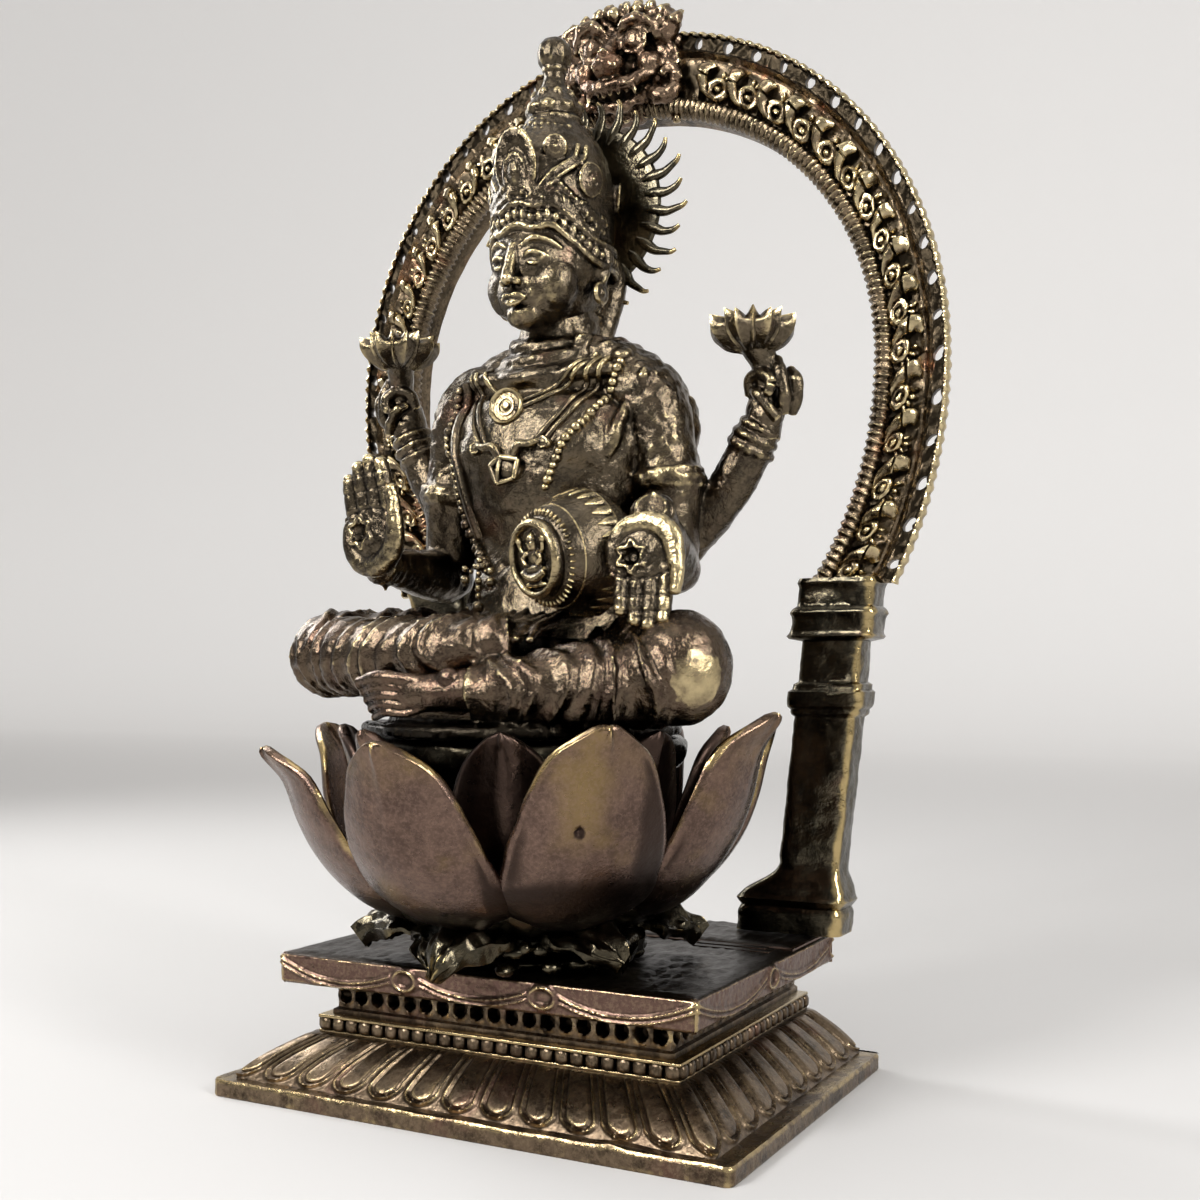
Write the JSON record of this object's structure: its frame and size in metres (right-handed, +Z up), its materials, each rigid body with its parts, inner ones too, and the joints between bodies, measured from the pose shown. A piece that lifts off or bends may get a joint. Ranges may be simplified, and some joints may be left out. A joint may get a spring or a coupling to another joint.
{
  "type": "seated goddess figure on lotus plinth",
  "caption": "Cast bronze goddess seated cross-legged on an open lotus with a pot and raised flowers, under a pierced arch on pillars, on a stepped plinth.",
  "frame": {"origin": "centre of the bottom plate, on its underside", "axes": "+Z up, -Y the way the figure faces, +X to the figure's own left"},
  "size_m": [0.0938, 0.0656, 0.1497],
  "materials": {
    "plinth_bronze": "dark brown patina with rubbed brass edges",
    "lotus_bronze": "dark violet-brown patina with rubbed brass petal edges",
    "arch_bronze": "near-black patina in the recesses, rubbed brass on the ornament",
    "figure_bronze": "dark brown patina with rubbed brass high points"
  },
  "bodies": {
    "root": {"plinth": "plinth_bronze", "lotus": "lotus_bronze", "arch": "arch_bronze", "figure": "figure_bronze"}
  },
  "joints": []
}
